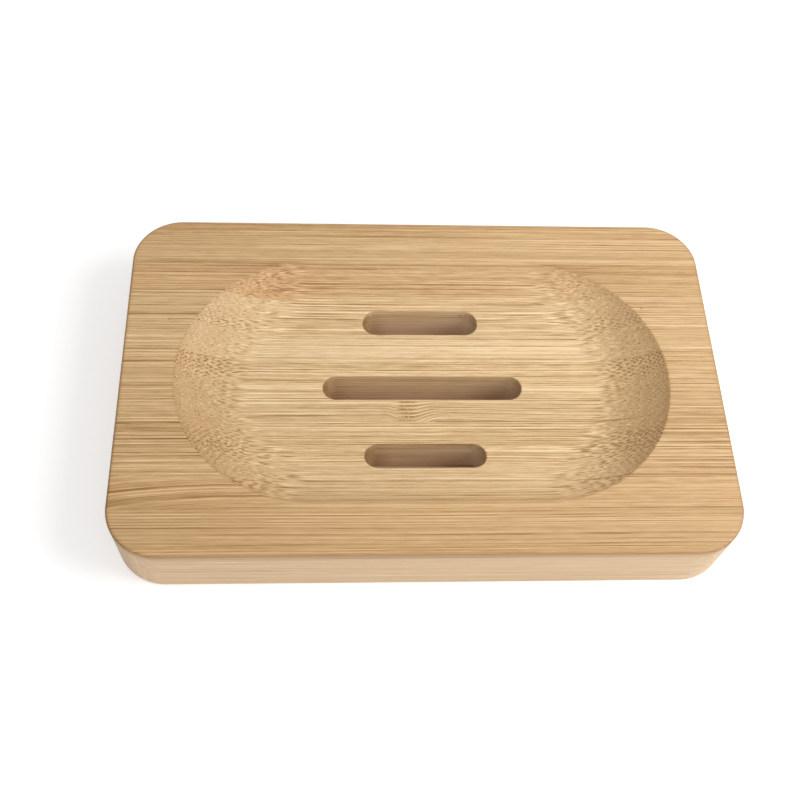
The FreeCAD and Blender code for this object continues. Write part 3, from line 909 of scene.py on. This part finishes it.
def tint_amounts(tree, along, cut, sideways, upward):
    """How much of each tint a place takes, from what the stave carries there and from the way it faces."""
    blush, milled, edge, painted_fill_share, outer, painted_slot_shade, torn, glued, glue_dark = (
        add(tree, "Attribute", out="Fac", attribute_name=label)
        for label in ("blush", "milled", "edge", "painted_fill_share", "outer", "painted_slot_shade", "torn", "glued", "glue_dark"))
    # The flat margin is painted a little darker than the hollow: a painted shade, less of it the deeper a
    # place was milled
    painted_margin_shade = add(tree, "MapRange", [milled, 0.0, 0.8, 1.0, 0.0])
    # End grain is darker; where a slope also faces front or back, as at the hollow's corners, less so:
    # painted light
    end_on = add(tree, "Math", [sideways, -0.5, cut], operation="MULTIPLY_ADD")
    slope = add(tree, "MapRange", [end_on, 0.0, 0.22, 0.0, 1.0])
    # A slope that faces right, towards the lamp on the right, takes less of the tint: painted light
    lean = add(tree, "MapRange", [along, -0.1, 0.1, 1.0, LIT_SLOPE_SHARE])
    slope = add(tree, "Math", [slope, lean], operation="MULTIPLY")
    end_grain = add(tree, "MapRange", [cut, 0.65, 1.0, 0.0, 1.0])
    # Upright outer faces are mixed a little paler and pinker: a painted sheen
    upright = add(tree, "MapRange", [upward, 0.0, 0.5, UPRIGHT_SHEEN, 0.0])
    upright = add(tree, "Math", [upright, outer], operation="MULTIPLY")
    # Painted light on the slots' walls, more of it lower down: a painted fill
    painted_fill = add(tree, "Math", [painted_fill_share, PAINTED_FILL], operation="MULTIPLY")
    splinter = add(tree, "Math", [torn, SPLINTER], operation="MULTIPLY")
    glue = add(tree, "MapRange", [glued, GLUE_CORE, GLUE_EDGE, 1.0, 0.0])
    glue = add(tree, "Math", [glue, glue_dark], operation="MULTIPLY")
    return dict(zip(TINTS, (blush, painted_margin_shade, slope, end_grain, edge, upright, painted_fill, painted_slot_shade, splinter, glue)))


print(len(TINTS), "tints:", *TINTS)

# %% The bamboo finish
# Where the body's colour lies on the way from pale ground to dark fibre
BODY = 0.4
# Roughness of the oiled ground and of the fibre, and the oil's index of refraction
OILED, DRY, OIL = 0.42, 0.6, 1.45
# How strongly a bundle's open vessels show as grooves, and their depth
VESSELS, VESSEL_DEPTH = 0.25, 0.04 * MM


def bamboo(name, ground, body, fibre, share):
    """Bamboo, milled, sanded and lightly oiled: pale ground, a middling body, dark bundles, a soft sheen."""
    finish, tree, shader = new_finish(name)
    facing = add(tree, "NewGeometry", out="Normal")
    along, sideways, upward = (add(tree, "SeparateXYZ", [facing], out=axis) for axis in range(3))
    cut, sideways = (add(tree, "Math", [part], operation="ABSOLUTE") for part in (along, sideways))
    mixed = darkness(tree, share, cut, upward)
    half_way = add(tree, "MapRange", [mixed, 0.0, BODY, 0.0, 1.0])
    all_the_way = add(tree, "MapRange", [mixed, BODY, 1.0, 0.0, 1.0])
    colour = linear(ground)
    layers = [(half_way, body, "MIX"), (all_the_way, fibre, "MIX")]
    amounts = tint_amounts(tree, along, cut, sideways, upward)
    layers += [(amounts[mark], *TINTS[mark]) for mark in TINTS]
    for amount, code, blend in layers:
        colour = {0: amount, 6: colour, 7: linear(code)}
        colour = add(tree, "Mix", colour, out=2, data_type="RGBA", blend_type=blend)
    # The vessels lie deeper than the ground and are less smooth; oil gives the whole a soft sheen
    rough = add(tree, "MapRange", [mixed, 0.0, 1.0, OILED, DRY])
    bump = add(tree, "Bump", {"Height": mixed, "Strength": VESSELS, "Distance": -VESSEL_DEPTH})
    fill(tree, shader, {"Base Color": colour, "Roughness": rough, "Normal": bump, "IOR": OIL})
    return finish


# Each finish: the colours of its ground, body and fibre, and its share of dark
SHADES = {
    "bamboo_pale": ("#EED2A8", "#D3B487", "#9D7948", 0.34),
    "bamboo_straw": ("#ECCFA4", "#D1B183", "#9B7644", 0.36),
    "bamboo_warm": ("#EACB9F", "#CFAD7E", "#99723F", 0.38),
}
finishes = {name: bamboo(name, *shade) for name, shade in SHADES.items()}
for piece, name in zip(pieces, staves):
    piece.data.materials.append(finishes[slot_of[name]])
print("finishes:", sorted(finishes))

# %% [markdown]
# ## The floor
# A sheet of white paper. A plane that only catches shadows would do, but the light that paper throws back is
# part of the look. To the camera it is lifted towards white, less near the dish so that the soft shadow
# stays; the lift lights nothing. The patch under the dish, seen only through the slots, is painted the brown
# of paper in the dish's shade: a painted shadow.

# %% Floor
# How far the paper lies below the dish, half the length and width of the patch, and how far the paper reaches
UNDER, PATCH_X, PATCH_Y, REACH = 0.04, 55, 33, 2000
DULL, SHEEN = 0.9, 0.1
lines_x, lines_y = ((-REACH, -half, half, REACH) for half in (PATCH_X, PATCH_Y))
sheet = np.stack([*np.meshgrid(lines_x, lines_y, indexing="ij"), np.full((4, 4), -UNDER)], -1)
floor_mesh = bpy.data.meshes.new("floor")
floor_mesh.from_pydata(sheet.reshape(-1, 3) * MM, [], grid_faces(4, 4, 0))
floor = placed("floor", floor_mesh)
# The second paper, for the patch under the dish, is a painted shadow
for name, code in (("white_paper", "#F8F8F8"), ("shaded_paper", "#BFA384")):
    paper, tree, shader = new_finish(name)
    fill(tree, shader, {"Base Color": linear(code), "Roughness": DULL, "Specular IOR Level": SHEEN})
    floor_mesh.materials.append(paper)
# Nine faces, and the patch is the middle one
floor_mesh.polygons[4].material_index = 1
print("floor of", len(floor_mesh.polygons), "faces,", [paper.name for paper in floor_mesh.materials])

# %% Lift of the paper
# The lift near the dish and far from it, and from where to where it grows
NEAR_LIFT, FAR_LIFT, LIFT_FROM, LIFT_TO = 0.235, 0.5, 200, 500


def looked_at(tree):
    """1 for rays that look at a thing, straight or by way of a sheen or glass, and 0 for light itself."""
    rays = add(tree, "LightPath").node
    seen = rays.outputs["Is Camera Ray"]
    for by_way in ("Is Glossy Ray", "Is Transmission Ray"):
        seen = add(tree, "Math", [seen, rays.outputs[by_way]], operation="MAXIMUM")
    return seen


tree = floor_mesh.materials[0].node_tree
away = add(tree, "VectorMath", [add(tree, "TexCoord", out="Object")], out="Value", operation="LENGTH")
lift = add(tree, "MapRange", [away, LIFT_FROM * MM, LIFT_TO * MM, NEAR_LIFT, FAR_LIFT])
lift = add(tree, "Math", [looked_at(tree), lift], operation="MULTIPLY")
fill(tree, tree.nodes["Principled BSDF"], {"Emission Color": linear("#FFFFFF"), "Emission Strength": lift})
print(f"paper lifted by {NEAR_LIFT} near the dish and by {FAR_LIFT} from {LIFT_TO} mm on")

# %% [markdown]
# ## The light
# Light from all round, a soft lamp close on the right and a larger one in front give the plain studio look.
# A picture of a room would light it too, but lamps can be set one by one. Together they are set so that a
# surface shows about the colour it is given. The camera sees the surroundings as white, but they light the
# dish at a lower level.

# %% Surroundings and lamps
# The level at which the surroundings light the dish
AMBIENT = 0.57
world = bpy.data.worlds.new("studio")
bpy.context.scene.world = world
world.use_nodes = True
tree = world.node_tree
level = add(tree, "MapRange", [looked_at(tree), 0.0, 1.0, AMBIENT, 1.0])
fill(tree, tree.nodes["Background"], {"Color": linear("#FFFFFF"), "Strength": level})


def direction(turn, rise):
    """From the dish outwards: turned from the front to the right and raised from the floor, in radians."""
    return Vector((math.sin(turn) * math.cos(rise), -math.cos(turn) * math.cos(rise), math.sin(rise)))


def softbox(name, heading, height, distance, size, power):
    """A round soft lamp that faces the dish. The heading is 0 in front and 90 to the right."""
    away = direction(math.radians(heading), math.radians(height))
    data = bpy.data.lights.new(name, "AREA")
    data.shape, data.size, data.energy = "DISK", size, power
    facing = away.to_track_quat("Z", "Y").to_matrix().to_4x4()
    placed(name, data).matrix_world = Matrix.Translation(away * distance) @ facing


softbox("softbox_right", heading=80, height=42, distance=0.36, size=0.26, power=0.9)
softbox("softbox_front", heading=-10, height=46, distance=0.9, size=0.5, power=1.8)
print("lights:", [lamp.name for lamp in bpy.data.lights])

# %% [markdown]
# ## The camera
# The camera looks down on the dish from in front, a little from the left and slightly tilted. Its angles and
# distance were fitted to the corners of the board, the hollow and the slots in a square picture. Set by eye,
# the slots' walls would show too much or too little.

# %% Camera
# Its angles downwards, to the side and of tilt, and the place that it faces
ELEVATION, YAW, ROLL = (math.radians(v) for v in (60.890, -7.209, 6.376))
TARGET = Vector((-5.026, -5.645, THICKNESS)) * MM
# Its distance from there, and its focal length in points of a picture that is so many points wide
DISTANCE, FOCAL_PIXELS, FRAME_PIXELS, SENSOR = 210.950 * MM, 1071.54, 800, 36.0
camera_data = bpy.data.cameras.new("camera")
camera_data.sensor_width = SENSOR
camera_data.lens = FOCAL_PIXELS * SENSOR / FRAME_PIXELS
camera_data.clip_start = 0.01
camera = placed("camera", camera_data)
back = direction(YAW, ELEVATION)
level = Vector((math.cos(YAW), math.sin(YAW), 0))
upright = back.cross(level)
right = math.cos(ROLL) * level + math.sin(ROLL) * upright
up = math.cos(ROLL) * upright - math.sin(ROLL) * level
axes = Matrix((right, up, back)).transposed().to_4x4()
camera.matrix_world = Matrix.Translation(TARGET + back * DISTANCE) @ axes
bpy.context.scene.camera = camera
bpy.context.scene.view_settings.view_transform = "Standard"
print("camera at", [round(v, 4) for v in camera.matrix_world.translation])
